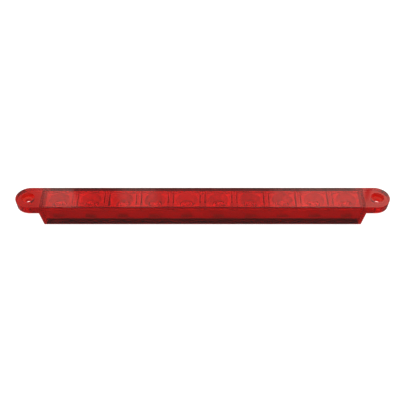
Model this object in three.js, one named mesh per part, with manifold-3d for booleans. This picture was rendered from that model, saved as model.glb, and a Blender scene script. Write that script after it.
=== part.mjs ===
// Slim third brake light: a sealed strip lamp with ten light-emitting diodes, in millimetres.
// The lamp lies on its mounting face: X runs along it, Y across it, and +Z is the way it shines.
// The origin is the centre of the mounting face.
import * as THREE from "three";
import { mergeVertices } from "three/addons/utils/BufferGeometryUtils.js";
import Module from "manifold-3d";

const wasm = await Module();
wasm.setup();

// ---- driving dimensions ----
const LENGTH = 237.8; // over both mounting ears
const WIDTH = 18.2;
const DEPTH = 15; // mounting face to lens face
const CELLS = 10;
const CELL_PITCH = 20.25;
const FIT = 0.1; // clearance all round between pieces that sit in or on each other

// lens housing
const EAR_THICKNESS = 5.2;
const EAR_UNDERSIDE = DEPTH - EAR_THICKNESS;
const BODY_LENGTH_AT_EARS = 206.8;
const BODY_LENGTH_AT_BASE = 202.2;
const EAR_LEAN = 0.12; // how far the ears' ends lean in, for each mm of height
const WALL = 2;
const FACE_THICKNESS = 2.2;
const CAVITY_TOP = DEPTH - FACE_THICKNESS;
const CAVITY_LENGTH = 198; // at the mounting face
const CAVITY_TOP_LENGTH = 202.6;
const CAVITY_WIDTH = WIDTH - 2 * WALL;
const REBATE = 1; // step round the open back, for the rear cover's flange
const REBATE_DEPTH = 2.1;
const HOLE_SPACING = 222;
const HOLE_RADIUS = 2;
const RECESS_RADIUS = 4.1;
const RECESS_DEPTH = 3.2;

// rear cover, its seal and the cable grommet
const COVER_FLOOR = 1.4;
const COVER_RIM_TOP = 4.1;
const COVER_RIM = 0.9;
const CORNER_RADIUS = 0.8;
const PAD_SIZE = 2;
const INLET_RADIUS = 3.2;
const INLET_RECESS_RADIUS = 4.6;
const INLET_RECESS_DEPTH = 0.5;
const CABLE_RADIUS = 2.3;
const GROMMET_LIP = 0.6;

// circuit board and what is soldered to it
const BOARD_BOTTOM = 2.9;
const BOARD_THICKNESS = 1;
const BOARD_TOP = BOARD_BOTTOM + BOARD_THICKNESS;
const BOARD_LENGTH = CAVITY_LENGTH - 2 * COVER_RIM - 8 * FIT;
const BOARD_WIDTH = CAVITY_WIDTH - 2 * COVER_RIM - 8 * FIT;
const LEAD_WIDTH = 0.5;
const LEAD_HOLE_RADIUS = 0.5;
const LEAD_OFFSET = 2.54;
const LEAD_END = 2.1; // height of the trimmed tips under the board
const LEAD_SHOULDER = 1.3; // width of the stretch that stands on the board
const TERMINAL_X = 5.3;
const TERMINAL_RADIUS = 0.45;
const TERMINAL_HEIGHT = 1;
const CHIP_CAP = 0.6;
const RESISTOR_SIZE = [6.3, 3.2, 0.6];
const CAPACITOR_SIZE = [3.2, 1.6, 1.1];
const POLARITY_DIODE_SIZE = [4.3, 2.6, 2.2];
const SURGE_DIODE_SIZE = [4.6, 3.6, 2.3];
const DIODE_LEAD_REACH = 0.5; // past each end of the moulded block
const DIODE_LEAD_HEIGHT = 0.5;
const DIODE_CLEARANCE = 0.3; // under the moulded block

// light-emitting diodes
const LED_SIDE = 7.6;
const LED_SEAT = BOARD_TOP + 1.6; // the legs hold the body clear of the board
const LED_BASE_TOP = LED_SEAT + 1.9;
const LED_CORNER = 1.5;
const LED_DOME_RADIUS = 2.5;
const LED_TOP = 9.8;

// reflector strip
const STRIP_LENGTH = 199;
const STRIP_WIDTH = CAVITY_WIDTH - 2 * FIT;
const SKIRT = 0.7; // thickness of the wall round the strip
const SKIRT_BOTTOM = COVER_RIM_TOP + FIT;
const WINDOW_WIDTH = 6.8;
const WINDOW_BOTTOM = 5;
const WINDOW_TOP = 7.8;
const RIB_TOP = CAVITY_TOP - FIT;
const RIB_RISE = 1;
const RIB_WIDTH = 2.5;
const RIB_GROOVE = 0.7;
const STRIP_TOP = RIB_TOP - RIB_RISE;
const STRIP_PLATE = 1;
const SLOT_WIDTH = 0.7;
const SLOT_NOTCH = 0.3; // how far a slot goes on down into the skirt at its ends
const BOWL_MOUTH_RADIUS = 6.55;
const BOWL_THROAT_RADIUS = 4.2;
const BOWL_BOTTOM = 7.7;
const BOWL_WALL = 0.4;
const LEG_Y = 4.7;
const LEG_RADIUS = 0.7;

const OVERRUN = 1; // how far a cutter passes the face that it cuts

// ---- materials ----
const finish = (color, roughness, more = {}) =>
  new THREE.MeshStandardMaterial({ color, roughness, metalness: 0, ...more });
const MATERIALS = {
  lens: finish(0xb41414, 0.08, { transparent: true, opacity: 0.6 }),
  reflector: finish(0xe0ddda, 0.45, { metalness: 0.4 }),
  board: finish(0xe2e2dd, 0.4),
  led: finish(0xd23a34, 0.15),
  resistor: finish(0x1a1a1c, 0.5),
  capacitor: finish(0x94714e, 0.5),
  moulding: finish(0x151414, 0.45),
  tin: finish(0xc9c6bd, 0.35, { metalness: 1 }),
  cover: finish(0x161616, 0.55),
  rubber: finish(0x1c1c1c, 0.8),
};

// ---- solids ----
function toSolid(geometry) {
  const bare = geometry.index ? geometry.toNonIndexed() : geometry.clone();
  bare.deleteAttribute("normal");
  bare.deleteAttribute("uv");
  const merged = mergeVertices(bare, 1e-4);
  return new wasm.Manifold(
    new wasm.Mesh({
      numProp: 3,
      vertProperties: merged.attributes.position.array,
      triVerts: new Uint32Array(merged.index.array),
    }),
  );
}

function toGeometry(solid) {
  const { vertProperties, triVerts } = solid.getMesh();
  const geometry = new THREE.BufferGeometry();
  geometry.setAttribute("position", new THREE.BufferAttribute(vertProperties, 3));
  geometry.setIndex(new THREE.BufferAttribute(triVerts, 1));
  geometry.computeVertexNormals();
  return geometry;
}

// A box by its size, with its underside at height bottom.
function block(length, width, height, x = 0, y = 0, bottom = 0) {
  return toSolid(new THREE.BoxGeometry(length, width, height).translate(x, y, bottom + height / 2));
}

// An upright cylinder from height bottom to height top.
function rod(radius, bottom, top, x = 0, y = 0, sides = 24) {
  const geometry = new THREE.CylinderGeometry(radius, radius, top - bottom, sides);
  return toSolid(geometry.rotateX(Math.PI / 2).translate(x, y, (top + bottom) / 2));
}

// A flat outline pushed up from height bottom to height top. Its ends lean in by slope for each mm of height
// below the top.
function plate(shape, bottom, top, curveSegments = 20, slope = 0) {
  const options = { depth: top - bottom, bevelEnabled: false, curveSegments };
  const geometry = new THREE.ExtrudeGeometry(shape, options).translate(0, 0, bottom);
  const { position } = geometry.attributes;
  for (let i = 0; i < position.count; i++) {
    const x = position.getX(i);
    position.setX(i, x - Math.sign(x) * slope * (top - position.getZ(i)));
  }
  return toSolid(geometry);
}

// A profile of [radius, height] pairs, from its lowest outer point round to the start or to the axis,
// turned about the upright axis.
function turned(profile, sides = 24) {
  const points = profile.map(([radius, height]) => new THREE.Vector2(radius, height));
  return toSolid(new THREE.LatheGeometry(points, sides).rotateX(Math.PI / 2));
}

// A rectangle centred on the origin.
function rectangle(length, width) {
  const corners = [[-1, -1], [1, -1], [1, 1], [-1, 1]];
  return new THREE.Shape(corners.map(([x, y]) => new THREE.Vector2((x * length) / 2, (y * width) / 2)));
}

// A rectangle with rounded corners, centred on the origin.
function roundedRectangle(length, width, radius) {
  const x = length / 2 - radius;
  const y = width / 2 - radius;
  const shape = new THREE.Shape();
  shape.absarc(x, y, radius, 0, Math.PI / 2);
  shape.absarc(-x, y, radius, Math.PI / 2, Math.PI);
  shape.absarc(-x, -y, radius, Math.PI, 1.5 * Math.PI);
  shape.absarc(x, -y, radius, 1.5 * Math.PI, 2 * Math.PI);
  return shape;
}

const joined = (solids) => solids.reduce((whole, solid) => whole.add(solid));
const cellX = (index) => (index - (CELLS - 1) / 2) * CELL_PITCH;
const cellCentres = Array.from({ length: CELLS }, (_, index) => cellX(index));
const cellBoundaries = Array.from({ length: CELLS - 1 }, (_, index) => cellX(index + 0.5));

function part(name, shape, material, x = 0, y = 0, z = 0) {
  const geometry = shape.isBufferGeometry ? shape : toGeometry(shape);
  const mesh = new THREE.Mesh(geometry, material);
  mesh.name = name;
  mesh.position.set(x, y, z);
  return mesh;
}

// ---- lens housing: face, four walls and two drilled ears in one red moulding, open at the back ----
function lensHousing() {
  const ears = plate(roundedRectangle(LENGTH, WIDTH, WIDTH / 2), EAR_UNDERSIDE, DEPTH, 20, EAR_LEAN);
  const side = new THREE.Shape([
    new THREE.Vector2(-BODY_LENGTH_AT_BASE / 2, 0),
    new THREE.Vector2(BODY_LENGTH_AT_BASE / 2, 0),
    new THREE.Vector2(BODY_LENGTH_AT_EARS / 2, EAR_UNDERSIDE),
    new THREE.Vector2(BODY_LENGTH_AT_EARS / 2, EAR_UNDERSIDE + OVERRUN),
    new THREE.Vector2(-BODY_LENGTH_AT_EARS / 2, EAR_UNDERSIDE + OVERRUN),
    new THREE.Vector2(-BODY_LENGTH_AT_EARS / 2, EAR_UNDERSIDE),
  ]);
  const body = new THREE.ExtrudeGeometry(side, { depth: WIDTH, bevelEnabled: false });
  let housing = ears.add(toSolid(body.rotateX(Math.PI / 2).translate(0, WIDTH / 2, 0)));

  const cavitySlope = (CAVITY_TOP_LENGTH - CAVITY_LENGTH) / 2 / CAVITY_TOP;
  const cutters = [
    plate(rectangle(CAVITY_TOP_LENGTH, CAVITY_WIDTH), 0, CAVITY_TOP, 1, cavitySlope),
    block(CAVITY_LENGTH + 2 * REBATE, CAVITY_WIDTH + 2 * REBATE, REBATE_DEPTH + OVERRUN, 0, 0, -OVERRUN),
  ];
  for (const end of [-1, 1]) {
    const x = (end * HOLE_SPACING) / 2;
    cutters.push(rod(HOLE_RADIUS, EAR_UNDERSIDE - OVERRUN, DEPTH + OVERRUN, x, 0, 32));
    cutters.push(rod(RECESS_RADIUS, DEPTH - RECESS_DEPTH, DEPTH + OVERRUN, x, 0, 32));
  }
  for (const cutter of cutters) housing = housing.subtract(cutter);
  return part("lens_housing", housing, MATERIALS.lens);
}

// ---- reflector strip: a tray with ten thin-walled parabolic bowls, grooved ribs between them, and legs ----
const bowlCurve = (STRIP_TOP - BOWL_BOTTOM) / (BOWL_MOUTH_RADIUS ** 2 - BOWL_THROAT_RADIUS ** 2);
const bowlHeight = (radius) => BOWL_BOTTOM + bowlCurve * (radius ** 2 - BOWL_THROAT_RADIUS ** 2);

// The bowl's curve as a solid, widened by grow all round and carried past both its ends by overrun.
function bowlSolid(grow, overrun, steps = 4) {
  const curve = Array.from({ length: steps + 1 }, (_, step) => {
    const radius = BOWL_THROAT_RADIUS + ((BOWL_MOUTH_RADIUS - BOWL_THROAT_RADIUS) * step) / steps;
    return [radius + grow, bowlHeight(radius)];
  });
  const [throat, mouth] = [curve[0][0], curve[steps][0]];
  const top = STRIP_TOP + overrun;
  const bottom = BOWL_BOTTOM - overrun;
  const ends = overrun ? [[[throat, bottom]], [[mouth, top]]] : [[], []];
  return turned([[0, bottom], ...ends[0], ...curve, ...ends[1], [0, top]], 20);
}

// A tray upside down: the plate near its top holds the bowls, and its skirt has a window beside each diode.
function stripTray() {
  const plateBottom = STRIP_TOP - STRIP_PLATE;
  const hollowBottom = SKIRT_BOTTOM - OVERRUN;
  const hollowHeight = plateBottom - hollowBottom;
  const insideWidth = STRIP_WIDTH - 2 * SKIRT;
  const slotX = (RIB_WIDTH + SLOT_WIDTH) / 2;
  const cutters = [block(STRIP_LENGTH - 2 * SKIRT, insideWidth, hollowHeight, 0, 0, hollowBottom)];
  for (const x of cellCentres) {
    cutters.push(block(CELL_PITCH - RIB_WIDTH, insideWidth, RIB_RISE + OVERRUN, x, 0, STRIP_TOP));
    cutters.push(block(WINDOW_WIDTH, STRIP_WIDTH + OVERRUN, WINDOW_TOP - WINDOW_BOTTOM, x, 0, WINDOW_BOTTOM));
  }
  for (const x of cellBoundaries) {
    cutters.push(block(RIB_GROOVE, STRIP_WIDTH + OVERRUN, RIB_RISE + OVERRUN, x, 0, STRIP_TOP));
    for (const side of [-slotX, slotX]) {
      const slotBottom = plateBottom - SLOT_NOTCH;
      const height = RIB_TOP + OVERRUN - slotBottom;
      cutters.push(block(SLOT_WIDTH, STRIP_WIDTH + OVERRUN, height, x + side, 0, slotBottom));
    }
  }
  let tray = block(STRIP_LENGTH, STRIP_WIDTH, RIB_TOP - SKIRT_BOTTOM, 0, 0, SKIRT_BOTTOM);
  for (const cutter of cutters) tray = tray.subtract(cutter);
  return tray;
}

function reflectorStrip() {
  let strip = stripTray();
  const outside = bowlSolid(BOWL_WALL, 0);
  const inside = bowlSolid(0, OVERRUN);
  for (const x of cellCentres) strip = strip.add(outside.translate(x, 0, 0));
  for (const x of cellCentres) strip = strip.subtract(inside.translate(x, 0, 0));
  for (const x of cellBoundaries) {
    for (const y of [-LEG_Y, LEG_Y]) {
      strip = strip.add(rod(LEG_RADIUS, BOARD_TOP + FIT, STRIP_TOP - STRIP_PLATE / 2, x, y, 12));
    }
  }
  return part("reflector_strip", strip, MATERIALS.reflector);
}

// ---- light-emitting diodes: square four-legged body with one cut corner and a round dome ----
function ledSolid() {
  const half = LED_SIDE / 2;
  const outline = new THREE.Shape([
    new THREE.Vector2(-half, -half),
    new THREE.Vector2(half, -half),
    new THREE.Vector2(half, half - LED_CORNER),
    new THREE.Vector2(half - LED_CORNER, half),
    new THREE.Vector2(-half, half),
  ]);
  const domeCentre = LED_TOP - LED_DOME_RADIUS;
  const dome = [[LED_DOME_RADIUS, LED_BASE_TOP - FIT]];
  const rings = 4;
  for (let ring = 0; ring <= rings; ring++) {
    const angle = (Math.PI / 2) * (ring / rings);
    const radius = ring === rings ? 0 : LED_DOME_RADIUS * Math.cos(angle);
    dome.push([radius, domeCentre + LED_DOME_RADIUS * Math.sin(angle)]);
  }
  const pieces = [plate(outline, LED_SEAT, LED_BASE_TOP), turned([[0, LED_BASE_TOP - FIT], ...dome], 16)];
  const foot = BOARD_TOP + FIT;
  for (const x of [-LEAD_OFFSET, LEAD_OFFSET]) {
    for (const y of [-LEAD_OFFSET, LEAD_OFFSET]) {
      pieces.push(block(LEAD_WIDTH, LEAD_WIDTH, foot + FIT - LEAD_END, x, y, LEAD_END));
      pieces.push(block(LEAD_SHOULDER, LEAD_WIDTH, LED_SEAT + FIT - foot, x, y, foot));
    }
  }
  return joined(pieces);
}

function leds() {
  const shape = toGeometry(ledSolid());
  return cellCentres.map((x, index) =>
    part("led_" + String(index + 1).padStart(2, "0"), shape.clone(), MATERIALS.led, x),
  );
}

// ---- circuit board, drilled for every lead and for the two terminals ----
function circuitBoard() {
  let board = plate(roundedRectangle(BOARD_LENGTH, BOARD_WIDTH, CORNER_RADIUS), BOARD_BOTTOM, BOARD_TOP, 6);
  const drill = (radius, x, y) => rod(radius, BOARD_BOTTOM - OVERRUN, BOARD_TOP + OVERRUN, x, y, 8);
  for (const x of cellCentres) {
    for (const side of [-LEAD_OFFSET, LEAD_OFFSET]) {
      board = board.subtract(drill(LEAD_HOLE_RADIUS, x + side, -LEAD_OFFSET));
      board = board.subtract(drill(LEAD_HOLE_RADIUS, x + side, LEAD_OFFSET));
    }
  }
  for (const x of [-TERMINAL_X, TERMINAL_X]) board = board.subtract(drill(TERMINAL_RADIUS + FIT, x, 0));
  return part("circuit_board", board, MATERIALS.board);
}

// A chip with a metal cap at each end, as a chip resistor or capacitor has.
function chip(name, x, [length, width, height], material) {
  const capX = (length - CHIP_CAP) / 2;
  const body = block(length - CHIP_CAP, width, height);
  const caps = [-capX, capX].map((end) => block(CHIP_CAP, width + FIT, height + FIT, end));
  return part(name, joined([body, ...caps]), material, x, 0, BOARD_TOP + FIT / 2);
}

// A moulded block on two folded leads, as a surface-mounted diode has.
function mouldedDiode(name, x, [length, width, height]) {
  const body = block(length, width, height - DIODE_CLEARANCE, 0, 0, DIODE_CLEARANCE);
  const foot = block(length + 2 * DIODE_LEAD_REACH, width / 2, DIODE_LEAD_HEIGHT);
  return part(name, body.add(foot), MATERIALS.moulding, x, 0, BOARD_TOP + FIT / 2);
}

function boardParts() {
  const resistors = [-2, -1, 1, 2].map((boundary, index) =>
    chip("resistor_" + (index + 1), boundary * CELL_PITCH, RESISTOR_SIZE, MATERIALS.resistor),
  );
  const shoulder = BOARD_TOP + FIT;
  const terminalProfile = [
    [0, LEAD_END],
    [TERMINAL_RADIUS, LEAD_END],
    [TERMINAL_RADIUS, shoulder],
    [2 * TERMINAL_RADIUS, shoulder],
    [2 * TERMINAL_RADIUS, BOARD_TOP + TERMINAL_HEIGHT],
    [0, BOARD_TOP + TERMINAL_HEIGHT],
  ];
  const terminal = (name, x) => part(name, turned(terminalProfile, 12), MATERIALS.tin, x);
  return [
    ...resistors,
    mouldedDiode("polarity_diode", 3 * CELL_PITCH, POLARITY_DIODE_SIZE),
    mouldedDiode("surge_diode", -3 * CELL_PITCH, SURGE_DIODE_SIZE),
    chip("filter_capacitor", 4 * CELL_PITCH, CAPACITOR_SIZE, MATERIALS.capacitor),
    terminal("supply_terminal", TERMINAL_X),
    terminal("ground_terminal", -TERMINAL_X),
  ];
}

// ---- rear cover: a flanged lid whose rim plugs into the housing, with pads under the board ----
function rearCover() {
  const flangeLength = CAVITY_LENGTH + 2 * REBATE - 2 * FIT;
  const flangeWidth = CAVITY_WIDTH + 2 * REBATE - 2 * FIT;
  const rimLength = CAVITY_LENGTH - 2 * FIT;
  const rimWidth = CAVITY_WIDTH - 2 * FIT;
  const flange = plate(roundedRectangle(flangeLength, flangeWidth, CORNER_RADIUS / 2), 0, COVER_FLOOR, 4);
  const rim = plate(roundedRectangle(rimLength, rimWidth, CORNER_RADIUS), COVER_FLOOR - FIT, COVER_RIM_TOP, 4);
  const inside = roundedRectangle(rimLength - 2 * COVER_RIM, rimWidth - 2 * COVER_RIM, CORNER_RADIUS / 2);
  let cover = flange.add(rim.subtract(plate(inside, COVER_FLOOR - OVERRUN, COVER_RIM_TOP + OVERRUN, 4)));
  for (const x of [cellBoundaries[0], cellBoundaries[2], cellBoundaries[6], cellBoundaries[8]]) {
    for (const side of [-1, 1]) {
      const y = side * (rimWidth / 2 - COVER_RIM - PAD_SIZE / 2 + FIT);
      cover = cover.add(block(PAD_SIZE, PAD_SIZE, BOARD_BOTTOM - COVER_FLOOR, x, y, COVER_FLOOR - FIT));
    }
  }
  cover = cover.subtract(rod(INLET_RADIUS, -OVERRUN, COVER_FLOOR + OVERRUN, 0, 0, 32));
  cover = cover.subtract(rod(INLET_RECESS_RADIUS, -OVERRUN, INLET_RECESS_DEPTH, 0, 0, 32));
  return part("rear_cover", cover, MATERIALS.cover);
}

// ---- flat sealing ring between the cover's flange and the step in the housing ----
function coverSeal() {
  const bottom = COVER_FLOOR + FIT / 2;
  const top = REBATE_DEPTH - FIT / 2;
  const outer = roundedRectangle(
    CAVITY_LENGTH + 2 * REBATE - 2 * FIT,
    CAVITY_WIDTH + 2 * REBATE - 2 * FIT,
    CORNER_RADIUS / 2,
  );
  const inner = block(CAVITY_LENGTH, CAVITY_WIDTH, top - bottom + 2 * OVERRUN, 0, 0, bottom - OVERRUN);
  return part("cover_seal", plate(outer, bottom, top, 4).subtract(inner), MATERIALS.rubber);
}

// ---- cable grommet: two lips either side of the cover's floor, with a bore for the cable ----
function cableGrommet() {
  const webBottom = INLET_RECESS_DEPTH - FIT / 2;
  const webTop = COVER_FLOOR + FIT / 2;
  const profile = [
    [INLET_RECESS_RADIUS - FIT, FIT],
    [INLET_RECESS_RADIUS - FIT, webBottom],
    [INLET_RADIUS - FIT, webBottom],
    [INLET_RADIUS - FIT, webTop],
    [INLET_RADIUS + GROMMET_LIP, webTop],
    [INLET_RADIUS + GROMMET_LIP, webTop + GROMMET_LIP],
    [CABLE_RADIUS, webTop + GROMMET_LIP],
    [CABLE_RADIUS, FIT],
    [INLET_RECESS_RADIUS - FIT, FIT],
  ];
  return part("cable_grommet", turned(profile, 32), MATERIALS.rubber);
}

const lamp = new THREE.Group();
const boardAssembly = new THREE.Group();
boardAssembly.add(circuitBoard(), ...leds(), ...boardParts());
lamp.add(lensHousing(), reflectorStrip(), boardAssembly, rearCover(), coverSeal(), cableGrommet());

export default lamp;
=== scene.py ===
import math

import bmesh
import bpy
from mathutils import Matrix, Vector


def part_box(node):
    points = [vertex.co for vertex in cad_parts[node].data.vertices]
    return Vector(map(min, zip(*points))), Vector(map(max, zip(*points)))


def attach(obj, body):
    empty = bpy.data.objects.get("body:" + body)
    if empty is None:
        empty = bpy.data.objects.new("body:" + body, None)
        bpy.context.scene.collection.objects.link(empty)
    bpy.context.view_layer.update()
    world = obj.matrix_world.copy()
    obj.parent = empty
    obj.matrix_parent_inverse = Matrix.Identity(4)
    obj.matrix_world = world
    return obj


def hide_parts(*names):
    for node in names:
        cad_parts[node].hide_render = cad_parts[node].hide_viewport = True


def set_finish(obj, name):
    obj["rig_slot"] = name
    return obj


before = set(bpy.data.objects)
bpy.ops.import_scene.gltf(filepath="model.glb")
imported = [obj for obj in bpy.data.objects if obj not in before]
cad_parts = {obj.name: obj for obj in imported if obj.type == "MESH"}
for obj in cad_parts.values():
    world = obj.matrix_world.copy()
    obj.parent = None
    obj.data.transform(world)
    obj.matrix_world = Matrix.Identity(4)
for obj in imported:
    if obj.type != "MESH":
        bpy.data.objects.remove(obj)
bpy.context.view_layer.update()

MM = 0.001
BODY = "root"
DIODES = [f"led_{number:02d}" for number in range(1, 11)]


def box_mm(node):
    """A CAD node's lowest and highest corners, in millimetres."""
    low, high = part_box(node)
    return low / MM, high / MM


def centre_mm(node):
    low, high = box_mm(node)
    return (low + high) / 2


HOUSING_LOW, HOUSING_HIGH = box_mm("lens_housing")
LENGTH = HOUSING_HIGH.x - HOUSING_LOW.x
WIDTH = HOUSING_HIGH.y - HOUSING_LOW.y
DEPTH = HOUSING_HIGH.z - HOUSING_LOW.z
CELL_X = [centre_mm(node).x for node in DIODES]
CELL_PITCH = CELL_X[1] - CELL_X[0]
BOUNDARY_X = [(left + right) / 2 for left, right in zip(CELL_X, CELL_X[1:])]
BOARD_LOW, BOARD_HIGH = box_mm("circuit_board")
BOARD_BOTTOM = BOARD_LOW.z
BOARD_TOP = BOARD_HIGH.z
COVER_LOW, COVER_HIGH = box_mm("rear_cover")
TERMINAL_X = centre_mm("supply_terminal").x
OVERRUN = 1.0  # how far a cutter passes the face that it cuts
OVERLAP = 0.1  # how far joined shapes run into each other
GAP = 0.1  # between a part and what it stands on or in

# lens housing
EAR_THICKNESS = 5.2
EAR_UNDERSIDE = DEPTH - EAR_THICKNESS
BODY_LENGTH_AT_EARS = 206.8
BODY_LENGTH_AT_BASE = 202.2
EAR_LEAN = 0.12  # how far each ear's end leans out, for each millimetre of height
CAVITY_TOP = DEPTH - 2.2
CAVITY_LENGTH = 198.0
CAVITY_TOP_LENGTH = 202.6
CAVITY_WIDTH = WIDTH - 4.0
CAVITY_CORNER = 0.8
REBATE = 1.0
REBATE_DEPTH = 2.1
REBATE_CORNER = 0.5
HOLE_X = 111.0
HOLE_RADIUS = 2.0
RECESS_RADIUS = 4.1
RECESS_DEPTH = 3.2
HOUSING_EDGE = 0.1
FINE_EDGE_SHARE = 0.35  # how much of that the edges of the holes and the cavity get
NEARBY = 0.1  # how far off a face a point may be and still count as on it

# how rough the housing is where it isn't polished
ETCHED = 0.3
BLASTED = 0.8
GROUND = 1.0
SKIN = 0.05  # how far a rough region reaches past a face, to take it in
FACE_MARGIN = 0.3  # how far it stops short of the inside of the front face
FROM_MIDDLE = -1.0  # where a region starts that takes in the lamp's middle

# reflector strip
STRIP_LOW, STRIP_HIGH = box_mm("reflector_strip")
RIB_RISE = 1.0
STRIP_TOP = STRIP_HIGH.z - RIB_RISE
STRIP_PLATE = 1.0
STRIP_CORNER = 0.6
STRIP_INNER_CORNER = 0.3
STRIP_EDGE = 0.12
BOWL_BOTTOM = 7.7
BOWL_MOUTH = 6.55
BOWL_THROAT = 4.2
BOWL_WALL = 0.4
RIB_WIDTH = 2.5
RIB_GROOVE = 0.7
SLOT_WIDTH = 0.7
SLOT_NOTCH = 0.3
LEG_RADIUS = 0.7
LEG_Y = 4.7
SKIRT = 0.7
SKIRT_BOTTOM = COVER_HIGH.z + GAP
WINDOW_WIDTH = 6.8
WINDOW_BOTTOM = 5.0
WINDOW_TOP = 7.8

# diodes
LED_LOW, LED_HIGH = box_mm(DIODES[0])
LED_SIDE = LED_HIGH.y - LED_LOW.y
LED_SEAT = BOARD_TOP + 1.6
LED_BASE_TOP = LED_SEAT + 1.9
LED_CORNER = 1.5
LED_DRAFT = 0.12
LED_EDGE = 0.2
DOME_RADIUS = 2.5
DOME_ROOT = 0.3  # how far the dome's solid goes down into the body
LEAD_OFFSET = 2.54
LEAD_SPOTS = [(dx, dy) for dx in (-LEAD_OFFSET, LEAD_OFFSET) for dy in (-LEAD_OFFSET, LEAD_OFFSET)]
LEAD_END = LED_LOW.z
LEAD_WIDTH = 0.5
LEAD_DEPTH = 0.45
LEAD_SHOULDER = 1.3
FRAME_HEIGHT = 0.55  # of the leadframe's plates, above the body's underside
FRAME_PLATE = 0.35
FRAME_EDGE = 0.06
DIE_SIDE = 0.4
DIE_BOTTOM = 0.1  # above the plates, just inside the floor of the cup
DIE_TOP = 0.3
WIRE_RADIUS = 0.05
WIRE_END = 2.3
WIRE_RISE = 0.9

# edges of the small parts
SOFT_EDGE = 0.08
FINE_EDGE = 0.05
FINEST_EDGE = 0.03

# board, rear cover, seal and grommet
BOARD_CORNER = 0.8
BOARD_EDGE = 0.06
LEAD_HOLE_RADIUS = 0.5
PIN_HOLE_RADIUS = 0.55
COVER_FLOOR = 1.4
COVER_CORNER = 0.4
COVER_EDGE = 0.15
COVER_RIM = 0.9
RIM_INNER_CORNER = 0.4
PAD_LENGTH = 2.0
PAD_WIDTH = 2.1
PAD_FROM_RIM = 0.9
PAD_BOUNDARIES = (0, 2, 6, 8)  # the pads stand under these of the nine ribs
SEAL_CORNER = 0.4
SEAL_EDGE = 0.18
INLET_RADIUS = 3.2
INLET_RECESS_RADIUS = 4.6
INLET_RECESS_DEPTH = 0.5
GROMMET_EDGE = 0.06


# ---- shapes, in millimetres ----
WELD = 1e-4  # a mesh's corners nearer to each other than this are one corner
SAME_POINT = 1e-6  # and an outline's points nearer than this are one point


def new_object(name, bm):
    mesh = bpy.data.meshes.new(name)
    bmesh.ops.recalc_face_normals(bm, faces=bm.faces)
    bm.to_mesh(mesh)
    bm.free()
    made = bpy.data.objects.new(name, mesh)
    bpy.context.scene.collection.objects.link(made)
    return made


def prism(outline, bottom, top, top_outline=None):
    """An upright solid on an outline of (x, y) points. top_outline, with as many points, gives it draft."""
    bm = bmesh.new()
    lower = [bm.verts.new((x, y, bottom)) for x, y in outline]
    upper = [bm.verts.new((x, y, top)) for x, y in (top_outline or outline)]
    bm.faces.new(lower[::-1])
    bm.faces.new(upper)
    count = len(outline)
    for i in range(count):
        j = (i + 1) % count
        bm.faces.new((lower[i], lower[j], upper[j], upper[i]))
    return new_object("prism", bm)


def block(length, width, bottom, top, x=0.0, y=0.0):
    return prism(rectangle(length, width, x, y), bottom, top)


def turned(profile, segments=64, x=0.0, y=0.0):
    """A profile of (radius, height) pairs turned about the upright line through x, y. A profile that starts
    off the axis closes on itself, and one that starts on the axis and ends off it gives an open sheet."""
    bm = bmesh.new()
    closed = profile[0][0] > 0
    rings = []
    for radius, height in profile:
        if radius == 0:
            rings.append([bm.verts.new((x, y, height))])
            continue
        rings.append([bm.verts.new((*point, height)) for point in circle(radius, x, y, segments)])
    pairs = list(zip(rings, rings[1:]))
    if closed:
        pairs.append((rings[-1], rings[0]))
    for lower, upper in pairs:
        for i in range(segments):
            j = (i + 1) % segments
            corners = [(lower, i), (lower, j), (upper, j), (upper, i)]
            bm.faces.new(list(dict.fromkeys(ring[index % len(ring)] for ring, index in corners)))
    return new_object("turned", bm)


def rectangle(length, width, x=0.0, y=0.0):
    return [
        (x + sx * length / 2, y + sy * width / 2)
        for sx, sy in ((-1, -1), (1, -1), (1, 1), (-1, 1))
    ]


def circle(radius, x=0.0, y=0.0, segments=64):
    angles = [2 * math.pi * step / segments for step in range(segments)]
    return [(x + radius * math.cos(a), y + radius * math.sin(a)) for a in angles]


def rounded_rectangle(length, width, radius, steps=8):
    """A centred rectangle with round corners. With radius half its width it is a slot with round ends."""
    points = []
    for quarter, (sx, sy) in enumerate(((1, 1), (-1, 1), (-1, -1), (1, -1))):
        for step in range(steps + 1):
            angle = math.pi / 2 * (quarter + step / steps)
            x = sx * (length / 2 - radius) + radius * math.cos(angle)
            y = sy * (width / 2 - radius) + radius * math.sin(angle)
            points.append((x, y))
    return [p for i, p in enumerate(points) if math.dist(p, points[i - 1]) > SAME_POINT]


def merged(objects):
    """Several objects as one, without a boolean."""
    bm = bmesh.new()
    for source in objects:
        bm.from_mesh(source.data)
        bpy.data.objects.remove(source)
    return new_object("merged", bm)


def applied(shape):
    """The shape with its modifiers made into mesh."""
    bpy.context.view_layer.update()
    graph = bpy.context.evaluated_depsgraph_get()
    mesh = bpy.data.meshes.new_from_object(shape.evaluated_get(graph))
    shape.modifiers.clear()
    shape.data = mesh
    return shape


def boolean(shape, operation, other):
    modifier = shape.modifiers.new(operation, "BOOLEAN")
    modifier.operation = operation
    modifier.solver = "EXACT"
    modifier.object = other
    applied(shape)
    bpy.data.objects.remove(other)
    return shape


def joined(shape, *others):
    for other in others:
        boolean(shape, "UNION", other)
    return shape


def cut(shape, *others):
    for other in others:
        boolean(shape, "DIFFERENCE", other)
    return shape


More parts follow.
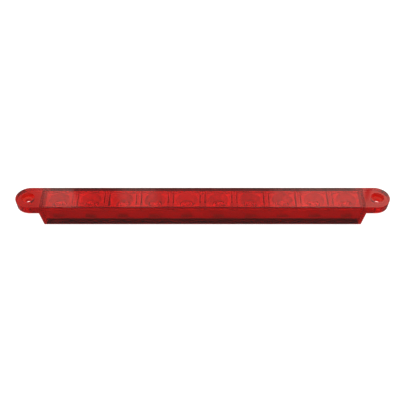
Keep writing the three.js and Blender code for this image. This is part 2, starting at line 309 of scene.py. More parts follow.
def rounded(shape, radius, share=lambda point: 1.0, segments=3, sharper_than=30):
    """Rounds every edge sharper than an angle. share takes an edge's middle, and gives how much of the radius
    the edge gets."""
    bm = bmesh.new()
    bm.from_mesh(shape.data)
    bmesh.ops.remove_doubles(bm, verts=bm.verts, dist=WELD)
    weights = bm.edges.layers.float.new("bevel_weight_edge")
    for edge in bm.edges:
        if edge.is_manifold and math.degrees(edge.calc_face_angle()) > sharper_than:
            edge[weights] = share((edge.verts[0].co + edge.verts[1].co) / 2)
    bm.to_mesh(shape.data)
    bm.free()
    shape.data.shade_smooth()
    bevel = shape.modifiers.new("rounding", "BEVEL")
    bevel.limit_method = "WEIGHT"
    bevel.width = radius
    bevel.segments = segments
    bevel.harden_normals = True
    return applied(shape)


def piece(shape, name, slot, material, replaces=(), at=(0, 0, 0)):
    """Makes a finished shape into a named piece of the lamp, in metres."""
    shape.name = name
    shape.data.name = name
    shape.data.transform(Matrix.Scale(MM, 4))
    shape.location = Vector(at) * MM
    if not shape.data.materials:
        shape.data.materials.append(material)
    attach(shape, BODY)
    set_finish(shape, slot)
    if replaces:
        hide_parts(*replaces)
    return shape


def copy_of(first, name, at, replaces=()):
    """Another piece with the same mesh, somewhere else."""
    made = first.copy()
    made.name = name
    made.parent = None
    made.location = Vector(at) * MM
    # the marks that tie the first piece to the frame are left behind, and the copy gets its own below
    for key in list(made.keys()):
        del made[key]
    bpy.context.scene.collection.objects.link(made)
    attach(made, BODY)
    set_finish(made, first["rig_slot"])
    if replaces:
        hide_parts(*replaces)
    return made


# ---- materials ----
class Finish:
    """A Principled material that grows: each call adds one thing that the real surface shows."""

    def __init__(self, name, colour, roughness, **more):
        self.material = bpy.data.materials.new(name)
        self.material.use_nodes = True
        self.nodes = self.material.node_tree.nodes
        self.links = self.material.node_tree.links
        self.shader = self.nodes["Principled BSDF"]
        self.output = self.nodes["Material Output"]
        self.shader.inputs["Base Color"].default_value = (*colour, 1)
        self.shader.inputs["Roughness"].default_value = roughness
        for socket, value in more.items():
            self.shader.inputs[socket.replace("_", " ")].default_value = value
        self.colour = colour
        self.normal = None
        self.place = self.nodes.new("ShaderNodeTexCoord").outputs["Object"]

    def noise(self, size_mm):
        """A noise whose features are size_mm across."""
        texture = self.nodes.new("ShaderNodeTexNoise")
        texture.inputs["Scale"].default_value = 1 / (size_mm * MM)
        texture.inputs["Detail"].default_value = 3.0
        self.links.new(self.place, texture.inputs["Vector"])
        return texture.outputs["Fac"]

    def ranged(self, value, low, high):
        """Spreads the middle of a noise's range over low to high."""
        start, end = 0.3, 0.7
        remap = self.nodes.new("ShaderNodeMapRange")
        for socket, number in (("From Min", start), ("From Max", end), ("To Min", low), ("To Max", high)):
            remap.inputs[socket].default_value = number
        self.links.new(value, remap.inputs["Value"])
        return remap.outputs["Result"]

    def uneven_gloss(self, size_mm, low, high):
        """Roughness that drifts between two values."""
        self.links.new(self.ranged(self.noise(size_mm), low, high), self.shader.inputs["Roughness"])
        return self

    def uneven_colour(self, size_mm, other):
        """Base colour that drifts towards another."""
        mix = self.nodes.new("ShaderNodeMix")
        mix.data_type = "RGBA"
        mix.inputs["A"].default_value = (*self.colour, 1)
        mix.inputs["B"].default_value = (*other, 1)
        self.links.new(self.ranged(self.noise(size_mm), 0, 1), mix.inputs["Factor"])
        self.links.new(mix.outputs["Result"], self.shader.inputs["Base Color"])
        return self

    def grain(self, size_mm, height_mm):
        """Fine relief, of that size and height. Calls add up."""
        bump = self.nodes.new("ShaderNodeBump")
        bump.inputs["Strength"].default_value = 1.0
        bump.inputs["Distance"].default_value = height_mm * MM
        self.links.new(self.noise(size_mm), bump.inputs["Height"])
        if self.normal:
            self.links.new(self.normal, bump.inputs["Normal"])
        self.normal = bump.outputs["Normal"]
        self.links.new(self.normal, self.shader.inputs["Normal"])
        return self

    def frosted(self, roughness, **region):
        """Rough where each axis named lies between its two distances from the origin, in millimetres."""
        spot = self.nodes.new("ShaderNodeSeparateXYZ")
        self.links.new(self.place, spot.inputs["Vector"])
        inside = None
        for axis, (near, far) in region.items():
            distance = self.math("ABSOLUTE", spot.outputs[axis])
            for comparison, limit in (("GREATER_THAN", near), ("LESS_THAN", far)):
                within = self.math(comparison, distance, limit * MM)
                inside = within if inside is None else self.math("MULTIPLY", inside, within)
        rough = self.shader.inputs["Roughness"]
        before = rough.links[0].from_socket
        self.links.new(self.math("MAXIMUM", before, self.math("MULTIPLY", inside, roughness)), rough)
        return self

    def math(self, operation, first, second=None):
        node = self.nodes.new("ShaderNodeMath")
        node.operation = operation
        for socket, value in zip(node.inputs, (first, second)):
            if isinstance(value, (int, float)):
                socket.default_value = value
            elif value is not None:
                self.links.new(value, socket)
        return node.outputs["Value"]

    def absorbs(self, per_mm):
        """Clear material that takes these shares off red, green and blue in each millimetre of depth."""
        inside = self.nodes.new("ShaderNodeVolumeAbsorption")
        densest = max(per_mm) / MM
        inside.inputs["Density"].default_value = densest
        inside.inputs["Color"].default_value = (*[1 - share / MM / densest for share in per_mm], 1)
        self.links.new(inside.outputs["Volume"], self.output.inputs["Volume"])
        return self


def red_lens():
    """Polished outside. The cavity's walls and the ears' undersides are etched, the cavity's end walls are
    blasted, and the slanted ends of the body are ground."""
    smoothest, roughest = 0.03, 0.09
    finish = Finish("red_lens", (0.85, 0.16, 0.13), smoothest, Transmission_Weight=1.0, IOR=1.49)
    finish.absorbs((0.03, 0.5, 0.55)).uneven_gloss(14, smoothest, roughest)
    half_length = CAVITY_TOP_LENGTH / 2 + SKIN
    walls = {"Y": (FROM_MIDDLE, CAVITY_WIDTH / 2 + SKIN), "Z": (FROM_MIDDLE, CAVITY_TOP - FACE_MARGIN)}
    finish.frosted(ETCHED, X=(FROM_MIDDLE, half_length), **walls)
    finish.frosted(BLASTED, X=(CAVITY_LENGTH / 2 - NEARBY, half_length), **walls)
    below_ears = FROM_MIDDLE, EAR_UNDERSIDE + SKIN
    finish.frosted(ETCHED, X=(BODY_LENGTH_AT_EARS / 2 + NEARBY, LENGTH), Z=below_ears)
    ends = BODY_LENGTH_AT_BASE / 2 - NEARBY, BODY_LENGTH_AT_EARS / 2 + NEARBY
    finish.frosted(GROUND, X=ends, Y=(FROM_MIDDLE, WIDTH / 2 - NEARBY), Z=below_ears)
    return finish.grain(9, 0.01).grain(0.8, 0.0004).material


def led_resin():
    finish = Finish("led_resin", (0.98, 0.34, 0.3), 0.04, Transmission_Weight=0.35, IOR=1.53)
    finish.absorbs((0.06, 0.5, 0.55)).uneven_gloss(2, 0.03, 0.12).grain(1.2, 0.002)
    return finish.material


def metallised():
    finish = Finish("metallised", (0.88, 0.87, 0.86), 0.45, Metallic=0.2)
    finish.uneven_gloss(5, 0.4, 0.55).uneven_colour(12, (0.72, 0.7, 0.69)).grain(0.35, 0.0012)
    return finish.material


def solder_mask():
    finish = Finish("solder_mask", (0.78, 0.78, 0.75), 0.35, IOR=1.5)
    finish.uneven_gloss(3, 0.25, 0.5).uneven_colour(1.1, (0.7, 0.7, 0.66)).grain(0.25, 0.002)
    return finish.material


def tinned():
    finish = Finish("tinned", (0.76, 0.74, 0.7), 0.3, Metallic=1.0)
    finish.uneven_gloss(0.6, 0.18, 0.45).uneven_colour(0.9, (0.6, 0.58, 0.54)).grain(0.2, 0.002)
    return finish.material


def black_plastic():
    finish = Finish("black_plastic", (0.014, 0.014, 0.015), 0.5, IOR=1.5)
    finish.uneven_gloss(8, 0.42, 0.62).uneven_colour(5, (0.022, 0.021, 0.021)).grain(0.18, 0.006)
    return finish.material


def black_rubber():
    finish = Finish("black_rubber", (0.018, 0.018, 0.018), 0.8, IOR=1.45)
    finish.uneven_gloss(1.5, 0.7, 0.95).uneven_colour(2, (0.03, 0.029, 0.028)).grain(0.3, 0.01)
    return finish.material


def moulding_compound():
    finish = Finish("moulding_compound", (0.02, 0.02, 0.021), 0.5)
    finish.uneven_gloss(0.5, 0.4, 0.6).uneven_colour(0.4, (0.035, 0.034, 0.034)).grain(0.08, 0.003)
    return finish.material


def chip_glaze():
    finish = Finish("chip_glaze", (0.025, 0.025, 0.03), 0.25)
    finish.uneven_gloss(0.5, 0.2, 0.4).uneven_colour(0.5, (0.04, 0.04, 0.045)).grain(0.15, 0.002)
    return finish.material


def alumina():
    finish = Finish("alumina", (0.78, 0.77, 0.73), 0.6)
    finish.uneven_gloss(0.4, 0.5, 0.75).uneven_colour(0.3, (0.68, 0.67, 0.63)).grain(0.08, 0.004)
    return finish.material


def capacitor_ceramic():
    finish = Finish("capacitor_ceramic", (0.3, 0.17, 0.08), 0.45)
    finish.uneven_gloss(0.4, 0.35, 0.55).uneven_colour(0.4, (0.38, 0.23, 0.12)).grain(0.1, 0.003)
    return finish.material


LENS = red_lens()
RESIN = led_resin()
METALLISED = metallised()
SOLDER_MASK = solder_mask()
TINNED = tinned()
BLACK_PLASTIC = black_plastic()
RUBBER = black_rubber()
MOULDING = moulding_compound()
GLAZE = chip_glaze()
ALUMINA = alumina()
CERAMIC = capacitor_ceramic()


# ---- lens housing: face, four walls and two drilled ears in one red moulding ----
def lens_housing():
    half_ears, half_base = BODY_LENGTH_AT_EARS / 2, BODY_LENGTH_AT_BASE / 2
    reach = LENGTH / 2 + OVERRUN
    side = [
        (-half_base, 0), (half_base, 0), (half_ears, EAR_UNDERSIDE), (reach, EAR_UNDERSIDE),
        (reach, DEPTH), (-reach, DEPTH), (-reach, EAR_UNDERSIDE), (-half_ears, EAR_UNDERSIDE),
    ]
    shape = prism(side, -WIDTH, WIDTH)
    shape.data.transform(Matrix.Rotation(math.pi / 2, 4, "X"))
    longest = LENGTH + 2 * EAR_LEAN * OVERRUN
    shortest = LENGTH - 2 * EAR_LEAN * (DEPTH + OVERRUN)
    ends = prism(
        rounded_rectangle(shortest, WIDTH, WIDTH / 2, steps=32), -OVERRUN, DEPTH + OVERRUN,
        rounded_rectangle(longest, WIDTH, WIDTH / 2, steps=32),
    )
    boolean(shape, "INTERSECT", ends)
    cavity = prism(
        rounded_rectangle(CAVITY_LENGTH, CAVITY_WIDTH, CAVITY_CORNER), 0, CAVITY_TOP,
        rounded_rectangle(CAVITY_TOP_LENGTH, CAVITY_WIDTH, CAVITY_CORNER),
    )
    rebate_length, rebate_width = CAVITY_LENGTH + 2 * REBATE, CAVITY_WIDTH + 2 * REBATE
    rebate = prism(rounded_rectangle(rebate_length, rebate_width, REBATE_CORNER), -OVERRUN, REBATE_DEPTH)
    cut(shape, cavity, rebate)
    for x in (-HOLE_X, HOLE_X):
        cut(
            shape,
            prism(circle(HOLE_RADIUS, x), EAR_UNDERSIDE - OVERRUN, DEPTH + OVERRUN),
            prism(circle(RECESS_RADIUS, x), DEPTH - RECESS_DEPTH, DEPTH + OVERRUN),
        )

    def share(point):
        from_hole = min(math.dist((point.x, point.y), (x, 0)) for x in (-HOLE_X, HOLE_X))
        over_rebate = abs(point.x) < rebate_length / 2 + NEARBY and abs(point.y) < rebate_width / 2 + NEARBY
        inside = over_rebate and point.z < CAVITY_TOP + NEARBY
        return FINE_EDGE_SHARE if inside or from_hole < RECESS_RADIUS + NEARBY else 1.0

    rounded(shape, HOUSING_EDGE, share)
    return piece(shape, "lens_moulding", "red_lens", LENS, replaces=["lens_housing"])


# ---- reflector strip: ten bowls, nine grooved ribs and eighteen legs in one thin moulding ----
def bowl(grow, overrun, x):
    """A bowl's hollow, or with grow its outside, as a solid. overrun carries it past both of its ends."""
    steps = 14
    curve = (STRIP_TOP - BOWL_BOTTOM) / (BOWL_MOUTH**2 - BOWL_THROAT**2)
    wall = []
    for step in range(steps + 1):
        radius = BOWL_THROAT + (BOWL_MOUTH - BOWL_THROAT) * step / steps
        wall.append((radius + grow, BOWL_BOTTOM + curve * (radius**2 - BOWL_THROAT**2)))
    bottom, top = BOWL_BOTTOM - overrun, STRIP_TOP + overrun
    lower = [(wall[0][0], bottom)] if overrun else []
    upper = [(wall[-1][0], top)] if overrun else []
    return turned([(0, bottom), *lower, *wall, *upper, (0, top)], 64, x)


def reflector_strip():
    length, width = STRIP_HIGH.x - STRIP_LOW.x, STRIP_HIGH.y - STRIP_LOW.y
    across, between_skirts = width + OVERRUN, width - 2 * SKIRT
    plate_bottom, above = STRIP_TOP - STRIP_PLATE, STRIP_HIGH.z + OVERRUN
    shape = prism(rounded_rectangle(length, width, STRIP_CORNER), SKIRT_BOTTOM, STRIP_HIGH.z)
    inside = rounded_rectangle(length - 2 * SKIRT, between_skirts, STRIP_INNER_CORNER)
    windows = [block(WINDOW_WIDTH, across, WINDOW_BOTTOM, WINDOW_TOP, x) for x in CELL_X]
    cut(shape, prism(inside, SKIRT_BOTTOM - OVERRUN, plate_bottom), merged(windows))
    bowls = [bowl(BOWL_WALL, 0, x) for x in CELL_X]
    legs = [
        prism(circle(LEG_RADIUS, x, y, 24), STRIP_LOW.z, STRIP_TOP - STRIP_PLATE / 2)
        for x in BOUNDARY_X
        for y in (-LEG_Y, LEG_Y)
    ]
    joined(shape, merged(bowls), merged(legs))
    grooves = [block(RIB_GROOVE, across, STRIP_TOP - OVERLAP, above, x) for x in BOUNDARY_X]
    beside = (RIB_WIDTH + SLOT_WIDTH) / 2
    slots = [
        block(SLOT_WIDTH, across, plate_bottom - SLOT_NOTCH, above, x + side * beside)
        for x in BOUNDARY_X
        for side in (-1, 1)
    ]
    pockets = [block(CELL_PITCH - RIB_WIDTH, between_skirts, STRIP_TOP, above, x) for x in CELL_X]
    hollows = [bowl(0, OVERRUN, x) for x in CELL_X]
    cut(shape, merged(pockets), merged(grooves + slots), merged(hollows))
    rounded(shape, STRIP_EDGE, segments=2)
    return piece(shape, "reflector", "reflector", METALLISED, replaces=["reflector_strip"])


# ---- light-emitting diodes: domed red resin over a stamped leadframe ----
def led_body():
    half = LED_SIDE / 2

    def outline(inset):
        edge = half - inset
        cut_edge = edge - LED_CORNER
        return [(-edge, -edge), (edge, -edge), (edge, cut_edge), (cut_edge, edge), (-edge, edge)]

    shape = prism(outline(0), LED_SEAT, LED_BASE_TOP, outline(LED_DRAFT))
    dome_centre = LED_HIGH.z - DOME_RADIUS
    root = LED_BASE_TOP - DOME_ROOT
    dome = [(0, root), (DOME_RADIUS, root)]
    steps = 16
    for step in range(steps + 1):
        angle = math.pi / 2 * step / steps
        radius = 0 if step == steps else DOME_RADIUS * math.cos(angle)
        dome.append((radius, dome_centre + DOME_RADIUS * math.sin(angle)))
    joined(shape, turned(dome, 48))
    return rounded(shape, LED_EDGE, sharper_than=25)


def led_metal():
    """The leadframe: four legs, two plates, the cup that holds the die, and the wire to the die."""
    plate_bottom = LED_SEAT + FRAME_HEIGHT
    plate_top = plate_bottom + FRAME_PLATE
    leg_top = plate_bottom + OVERLAP
    parts = []
    for x, y in LEAD_SPOTS:
        leg = block(LEAD_WIDTH, LEAD_DEPTH, LEAD_END, leg_top, x, y)
        shoulder = block(LEAD_SHOULDER, LEAD_DEPTH, BOARD_TOP + GAP, leg_top, x, y)
        parts += [rounded(leg, FRAME_EDGE, segments=2), rounded(shoulder, FRAME_EDGE, segments=2)]
    cathode = [
        (-3.2, -3.1), (-0.9, -3.1), (-0.9, -1.3), (1.1, -1.3),
        (1.1, 1.3), (-0.9, 1.3), (-0.9, 3.1), (-3.2, 3.1),
    ]
    anode = [(1.7, -3.1), (3.2, -3.1), (3.2, 3.1), (1.7, 3.1)]
    for outline in (cathode, anode):
        parts.append(rounded(prism(outline, plate_bottom, plate_top), FRAME_EDGE, segments=2))
    # the cup and the die stand on the cathode plate: heights above its top
    cup = [(0, -0.05), (1.15, -0.05), (1.3, 0.6), (1.05, 0.6), (0.6, 0.12), (0, 0.12)]
    cup_profile = [(radius, plate_top + z) for radius, z in cup]
    parts.append(rounded(turned(cup_profile, 32), FINEST_EDGE, segments=2))
    die = block(DIE_SIDE, DIE_SIDE, plate_top + DIE_BOTTOM, plate_top + DIE_TOP)
    parts.append(rounded(die, FINEST_EDGE, segments=1))
    parts.append(wire(plate_top))
    return merged(parts)


def wire(plate_top):
    """The bond wire, an arch from the die to the anode plate."""
    curve = bpy.data.curves.new("wire", "CURVE")
    curve.dimensions = "3D"
    curve.bevel_depth = WIRE_RADIUS
    curve.bevel_resolution = 2
    curve.use_fill_caps = True
    steps = 12
    line = curve.splines.new("POLY")
    line.points.add(steps)
    for step in range(steps + 1):
        share = step / steps
        height = plate_top + DIE_TOP * (1 - share) + WIRE_RISE * math.sin(math.pi * share)
        line.points[step].co = (WIRE_END * share, 0, height, 1)
    made = bpy.data.objects.new("wire", curve)
    bpy.context.scene.collection.objects.link(made)
    bpy.context.view_layer.update()
    mesh = bpy.data.meshes.new_from_object(made.evaluated_get(bpy.context.evaluated_depsgraph_get()))
    bpy.data.objects.remove(made)
    solid = bpy.data.objects.new("wire", mesh)
    bpy.context.scene.collection.objects.link(solid)
    return solid


def leds():
    resin = piece(led_body(), DIODES[0] + "_resin", "led_resin", RESIN, [DIODES[0]], (CELL_X[0], 0, 0))
    metal = piece(led_metal(), DIODES[0] + "_leadframe", "tinned_brass", TINNED, at=(CELL_X[0], 0, 0))
    for node, x in zip(DIODES[1:], CELL_X[1:]):
        copy_of(resin, node + "_resin", (x, 0, 0), [node])
        copy_of(metal, node + "_leadframe", (x, 0, 0))


# ---- circuit board and its solder joints ----
def circuit_board():
    outline = rounded_rectangle(BOARD_HIGH.x - BOARD_LOW.x, BOARD_HIGH.y - BOARD_LOW.y, BOARD_CORNER)
    shape = prism(outline, BOARD_BOTTOM, BOARD_TOP)
    holes = [circle(LEAD_HOLE_RADIUS, x + dx, dy, 16) for x in CELL_X for dx, dy in LEAD_SPOTS]
    holes += [circle(PIN_HOLE_RADIUS, x, 0, 16) for x in (-TERMINAL_X, TERMINAL_X)]
    cut(shape, merged([prism(hole, BOARD_BOTTOM - OVERRUN, BOARD_TOP + OVERRUN) for hole in holes]))
    rounded(shape, BOARD_EDGE, segments=2)
    piece(shape, "board", "board", SOLDER_MASK, replaces=["circuit_board"])


def solder_joints():
    """A small fillet round each lead and pin under the board."""
    fillet = [
        (0.0, 0.0), (0.95, 0.0), (0.62, -0.16), (0.45, -0.38),
        (0.38, -0.62), (0.2, -0.74), (0.0, -0.78),
    ]
    profile = [(radius, BOARD_BOTTOM + z) for radius, z in fillet]
    places = [(x + dx, dy) for x in CELL_X for dx, dy in LEAD_SPOTS]
    places += [(x, 0) for x in (-TERMINAL_X, TERMINAL_X)]
    shape = merged([turned(profile, 20, x, y) for x, y in places])
    shape.data.shade_smooth()
    piece(shape, "solder_joints", "tinned_brass", TINNED)


# ---- small parts on the board ----
def chip(node, body_slot, body_material, glazed):
    """A ceramic chip between two tinned end caps, with a glaze on top where it has one."""
    low, high = box_mm(node)
    centre = centre_mm(node)
    place = (centre.x, centre.y, 0)
    length, width = high.x - low.x, high.y - low.y
    cap, slimmer, body_top = 0.6, 0.1, high.z - 0.08
    body = rounded(block(length - cap, width - slimmer, low.z, body_top), FINE_EDGE, segments=2)
    piece(body, node + "_body", body_slot, body_material, [node], place)
    caps = [
        rounded(block(cap, width, low.z, high.z, end * (length - cap) / 2), SOFT_EDGE, segments=2)
        for end in (-1, 1)
    ]
    piece(merged(caps), node + "_caps", "tinned_brass", TINNED, at=place)
    if glazed:
        glaze_length, glaze_width = length - 2 * cap + OVERLAP, width - 0.4
        glaze = block(glaze_length, glaze_width, body_top - 0.04, body_top + 0.05)
        piece(rounded(glaze, FINEST_EDGE, segments=1), node + "_glaze", "chip", GLAZE, at=place)


def moulded_diode(node):
    """A moulded body on two flat leads, each bent down and back under it."""
    low, high = box_mm(node)
    centre = centre_mm(node)
    place = (centre.x, centre.y, 0)
    lead_reach, draft = 0.5, 0.2
    length, width = high.x - low.x - 2 * lead_reach, high.y - low.y
    middle = (low.z + high.z) / 2

    def outline(inset):
        return rectangle(length - 2 * inset, width - 2 * inset)

    lower = prism(outline(draft), low.z + 0.3, middle, outline(0))
    upper = prism(outline(0), middle - 0.05, high.z, outline(draft))
    body = rounded(joined(lower, upper), SOFT_EDGE, segments=2)
    piece(body, node + "_body", "moulding", MOULDING, [node], place)
    thick = 0.2
    root, outer, toe = length / 2 - 0.3, length / 2 + lead_reach, length / 2 - 0.9
    top = middle - 0.1
    lead = [
        (root, top), (outer, top), (outer, low.z), (toe, low.z), (toe, low.z + thick),
        (outer - thick, low.z + thick), (outer - thick, top - thick), (root, top - thick),
    ]
    feet = []
    for end in (-1, 1):
        foot = prism([(end * x, z) for x, z in lead], -width / 4, width / 4)
        foot.data.transform(Matrix.Rotation(math.pi / 2, 4, "X"))
        feet.append(rounded(foot, FINE_EDGE, segments=2))
    piece(merged(feet), node + "_leads", "tinned_brass", TINNED, at=place)


def terminal(node):
    """A pin through the board, with a collar on it and a cup in its top for the wire."""
    low, high = box_mm(node)
    pin, collar, cup = 0.45, 0.9, 0.4
    chamfer, collar_bottom, cup_bottom = 0.12, BOARD_TOP + 0.12, high.z - 0.3
    profile = [
        (0, low.z), (pin - 0.1, low.z), (pin, low.z + 0.15), (pin, collar_bottom),
        (collar, collar_bottom), (collar, high.z - chamfer), (collar - chamfer, high.z),
        (cup, high.z), (cup, cup_bottom), (0, cup_bottom),
    ]
    shape = rounded(turned(profile, 32), FINEST_EDGE, segments=2)
    piece(shape, node + "_pin", "tinned_brass", TINNED, [node], (centre_mm(node).x, 0, 0))


def board_parts():
    for number in range(1, 5):
        chip(f"resistor_{number}", "chip", ALUMINA, True)
    chip("filter_capacitor", "capacitor_ceramic", CERAMIC, False)
    for node in ("polarity_diode", "surge_diode"):
        moulded_diode(node)
    for node in ("supply_terminal", "ground_terminal"):
        terminal(node)


# ---- rear cover, its seal and the cable grommet ----
def rear_cover():
    length, width = COVER_HIGH.x - COVER_LOW.x, COVER_HIGH.y - COVER_LOW.y
    rim_length, rim_width = CAVITY_LENGTH - 2 * GAP, CAVITY_WIDTH - 2 * GAP
    shape = prism(rounded_rectangle(length, width, COVER_CORNER), 0, COVER_FLOOR)
    rim_outline = rounded_rectangle(rim_length, rim_width, CAVITY_CORNER)
    rim = prism(rim_outline, COVER_FLOOR - OVERLAP, COVER_HIGH.z)
    inside = rounded_rectangle(rim_length - 2 * COVER_RIM, rim_width - 2 * COVER_RIM, RIM_INNER_CORNER)
    cut(rim, prism(inside, 0, COVER_HIGH.z + OVERRUN))
    joined(shape, rim)
    pad_y = rim_width / 2 - COVER_RIM - PAD_FROM_RIM
    pad_bottom, pad_top = COVER_FLOOR - OVERLAP, BOARD_BOTTOM - GAP
    pads = [
        block(PAD_LENGTH, PAD_WIDTH, pad_bottom, pad_top, BOUNDARY_X[index], side * pad_y)
        for index in PAD_BOUNDARIES
        for side in (-1, 1)
    ]
    joined(shape, merged(pads))
    cut(
        shape,
        prism(circle(INLET_RECESS_RADIUS), -OVERRUN, INLET_RECESS_DEPTH),
        prism(circle(INLET_RADIUS), -OVERRUN, COVER_FLOOR + OVERRUN),
    )
    rounded(shape, COVER_EDGE, segments=2)
    piece(shape, "cover_moulding", "black_cover", BLACK_PLASTIC, replaces=["rear_cover"])


def cover_seal():
    low, high = box_mm("cover_seal")
    shape = prism(rounded_rectangle(high.x - low.x, high.y - low.y, SEAL_CORNER), low.z, high.z)
    opening = rounded_rectangle(CAVITY_LENGTH, CAVITY_WIDTH, CAVITY_CORNER)
    cut(shape, prism(opening, low.z - OVERRUN, high.z + OVERRUN))
    rounded(shape, SEAL_EDGE)
    piece(shape, "sealing_ring", "black_rubber", RUBBER, replaces=["cover_seal"])


def cable_grommet():
    """A rubber bush: a lip in the recess, a neck through the floor, a flange inside and a ridged bore."""
    low, high = box_mm("cable_grommet")
    lip, neck, flange = INLET_RECESS_RADIUS - 0.1, INLET_RADIUS - 0.1, INLET_RADIUS + 0.6
    lip_top, flange_bottom = INLET_RECESS_DEPTH - 0.05, COVER_FLOOR + 0.05
    groove, ridge = 2.45, 2.3
    profile = [
        (lip - 0.15, low.z), (lip, low.z + 0.12), (lip, lip_top), (neck, lip_top),
        (neck, flange_bottom), (flange, flange_bottom), (flange, high.z - 0.25), (flange - 0.25, high.z),
        (groove, high.z), (ridge, high.z - 0.15), (groove, high.z - 0.45), (ridge, high.z - 0.8),
        (groove, low.z + 0.35), (ridge, low.z + 0.12), (groove - 0.03, low.z),
    ]
    shape = rounded(turned(profile, 64), GROMMET_EDGE, segments=2)
    piece(shape, "grommet", "black_rubber", RUBBER, replaces=["cable_grommet"])


lens_housing()
reflector_strip()
leds()
circuit_board()
solder_joints()
board_parts()
rear_cover()
cover_seal()
cable_grommet()


# ---- camera, floor and light, in metres ----
FRAME_PIXELS = 400
FOCAL_PIXELS_PER_METRE = 1575.0  # how many of the frame's pixels a metre across the lamp's face takes up
FACE_ASIDE = 2.6  # the face's centre stands this many pixels right of the middle of the frame
FACE_ABOVE = 2.5  # and this many above it
CAMERA_DISTANCE = 0.54
CAMERA_ELEVATION = math.radians(43.7)
SENSOR = 36.0  # millimetres, Blender's unit for it
NEAREST_SEEN = 0.01


def camera():
    lens = bpy.data.cameras.new("camera")
    lens.sensor_width = SENSOR
    lens.lens = FOCAL_PIXELS_PER_METRE * CAMERA_DISTANCE / FRAME_PIXELS * SENSOR
    lens.clip_start = NEAREST_SEEN
    made = bpy.data.objects.new("camera", lens)
    bpy.context.scene.collection.objects.link(made)
    bpy.context.scene.camera = made
    face = Vector((0, 0, DEPTH * MM))
    sight = Vector((0, math.cos(CAMERA_ELEVATION), -math.sin(CAMERA_ELEVATION)))
    right = Vector((1, 0, 0))
    up = right.cross(sight)
    aside, above = FACE_ASIDE / FOCAL_PIXELS_PER_METRE, FACE_ABOVE / FOCAL_PIXELS_PER_METRE
    target = face - right * aside - up * above
    made.location = target - sight * CAMERA_DISTANCE
    made.rotation_euler = sight.to_track_quat("-Z", "Y").to_euler()


FLOOR_RADIUS = 1.3
FLOOR_SWEEP = 0.4  # the radius of the curve from the floor up to the wall
WALL_TOP = 1.3
FLOOR_GAP = 0.0003  # between the lamp's back and the floor
FLOOR_GREY = 0.14
FLOOR_GLOW = 0.42  # how bright the floor is through the lens


def backdrop():
    """A grey floor that sweeps up into a wall all round. The camera sees it white, and sees it dimmer through
    the lens. It shows in no gloss."""
    steps = 12
    profile = [(0, 0), (FLOOR_RADIUS, 0)]
    for step in range(1, steps + 1):
        angle = math.pi / 2 * step / steps
        profile.append((FLOOR_RADIUS + FLOOR_SWEEP * math.sin(angle), FLOOR_SWEEP * (1 - math.cos(angle))))
    profile.append((FLOOR_RADIUS + FLOOR_SWEEP, WALL_TOP))
    made = turned(profile, 96)
    made.name = "backdrop"
    made.data.name = "backdrop"
    made.data.shade_smooth()
    made.location.z = -FLOOR_GAP
    made.visible_glossy = False
    finish = Finish("backdrop", (FLOOR_GREY, FLOOR_GREY, FLOOR_GREY), 0.9)
    finish.shader.inputs["Emission Color"].default_value = (1, 1, 1, 1)
    path = finish.nodes.new("ShaderNodeLightPath")
    through = finish.math("MULTIPLY", path.outputs["Is Transmission Ray"], FLOOR_GLOW)
    glow = finish.math("MAXIMUM", path.outputs["Is Camera Ray"], through)
    finish.links.new(glow, finish.shader.inputs["Emission Strength"])
    finish.shader.inputs["Specular IOR Level"].default_value = 0
    made.data.materials.append(finish.material)


SURROUNDINGS = 0.2
LIGHT_COLOUR = (1.0, 0.97, 0.84)
LIGHT_DISTANCE = 1.2
LOW_ELEVATION = 25
OVERHEAD = {"azimuth": 0, "elevation": 90, "distance": 0.9, "size": (1.0, 0.8)}
FRONT = {"azimuth": 180, "elevation": LOW_ELEVATION, "distance": LIGHT_DISTANCE, "size": (1.6, 0.7)}
SIDE = {"elevation": LOW_ELEVATION, "distance": LIGHT_DISTANCE, "size": (1.0, 0.7)}
REAR_ELEVATION = 44  # where the lamp's face mirrors the camera
REAR_HEIGHT = 0.6
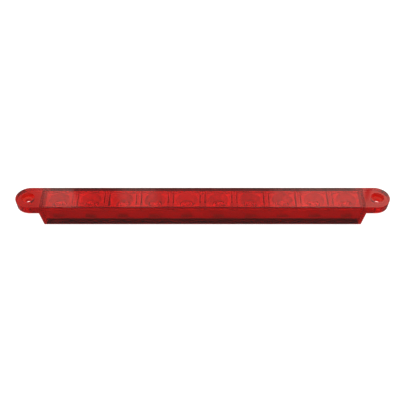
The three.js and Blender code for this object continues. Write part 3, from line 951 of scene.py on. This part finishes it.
# name, first azimuth, last azimuth, radiance: the gloss on the face changes along the lamp
REAR_BOXES = (
    ("rear_right_soft", 5.5, 9.5, 0.3),
    ("rear_right_mid", 9.5, 13.0, 0.8),
    ("rear_right", 13.0, 21.5, 1.05),
    ("rear_right_bright", 21.5, 40.0, 1.2),
    ("rear_centre", -10.9, 5.5, 0.25),
    ("rear_left", -10.9, -6.0, 0.4),
    ("rear_left_dim", -16.6, -10.9, 0.12),
    ("rear_left_bright", -20.6, -16.6, 1.0),
    ("rear_left_soft", -26.0, -20.6, 0.22),
)


def softbox(name, azimuth, elevation, distance, size, radiance, mirrored=True):
    """A rectangle of light that faces the lamp. Azimuth 0 is behind it, as the camera looks, and 90 is to
    +X. Where it isn't mirrored, it lights the lamp but shows in no gloss."""
    a, e = math.radians(azimuth), math.radians(elevation)
    way = Vector((math.sin(a) * math.cos(e), math.cos(a) * math.cos(e), math.sin(e)))
    light = bpy.data.lights.new(name, "AREA")
    light.shape = "RECTANGLE"
    light.size, light.size_y = size
    light.energy = radiance * math.pi * size[0] * size[1]
    light.color = LIGHT_COLOUR
    made = bpy.data.objects.new(name, light)
    made.location = way * distance
    made.rotation_euler = (-way).to_track_quat("-Z", "Y").to_euler()
    made.visible_glossy = mirrored
    bpy.context.scene.collection.objects.link(made)


def studio():
    world = bpy.data.worlds.new("studio")
    world.use_nodes = True
    bpy.context.scene.world = world
    background = world.node_tree.nodes["Background"]
    background.inputs["Color"].default_value = (1, 1, 1, 1)
    background.inputs["Strength"].default_value = SURROUNDINGS
    softbox("overhead", **OVERHEAD, radiance=5.9, mirrored=False)
    softbox("overhead_gloss", **OVERHEAD, radiance=1.9)
    softbox("front", **FRONT, radiance=2.4, mirrored=False)
    softbox("front_gloss", **FRONT, radiance=0.6)
    softbox("left", azimuth=-90, **SIDE, radiance=1.2)
    softbox("right", azimuth=90, **SIDE, radiance=1.2)
    flat_distance = LIGHT_DISTANCE * math.cos(math.radians(REAR_ELEVATION))
    for name, first, last, radiance in REAR_BOXES:
        width = 2 * flat_distance * math.tan(math.radians((last - first) / 2))
        softbox(name, (first + last) / 2, REAR_ELEVATION, LIGHT_DISTANCE, (width, REAR_HEIGHT), radiance)


camera()
backdrop()
studio()
bpy.context.scene.view_settings.view_transform = "Standard"
